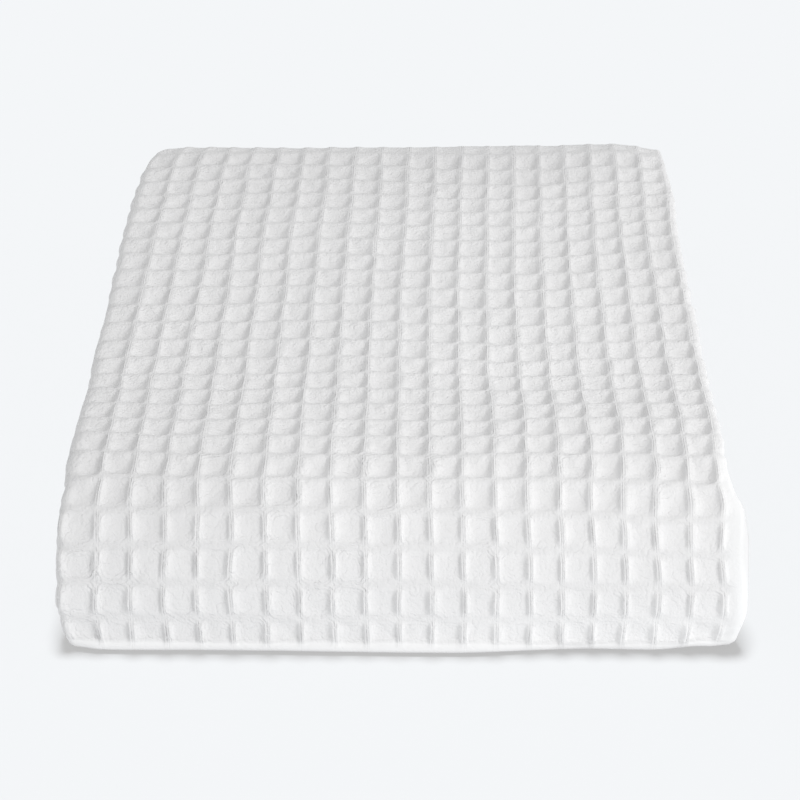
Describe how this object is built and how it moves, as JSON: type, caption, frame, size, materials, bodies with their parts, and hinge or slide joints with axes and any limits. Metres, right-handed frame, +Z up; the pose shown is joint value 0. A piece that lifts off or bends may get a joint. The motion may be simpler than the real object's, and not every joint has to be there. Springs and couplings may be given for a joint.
{
  "type": "folded waffle weave cotton blanket",
  "caption": "White waffle weave cotton blanket folded into a low stack of even plies, with one wide puffed fold along its front.",
  "frame": {"origin": "on the ground, under the middle of the stack", "axes": "+Z up, -Y towards the puffed front fold, +X to the right seen from the front"},
  "size_m": [0.327, 0.4069, 0.0701],
  "materials": {
    "cotton": "matt undyed white cotton in a raised waffle weave"
  },
  "bodies": {
    "root": {"blanket": "cotton"}
  },
  "joints": []
}
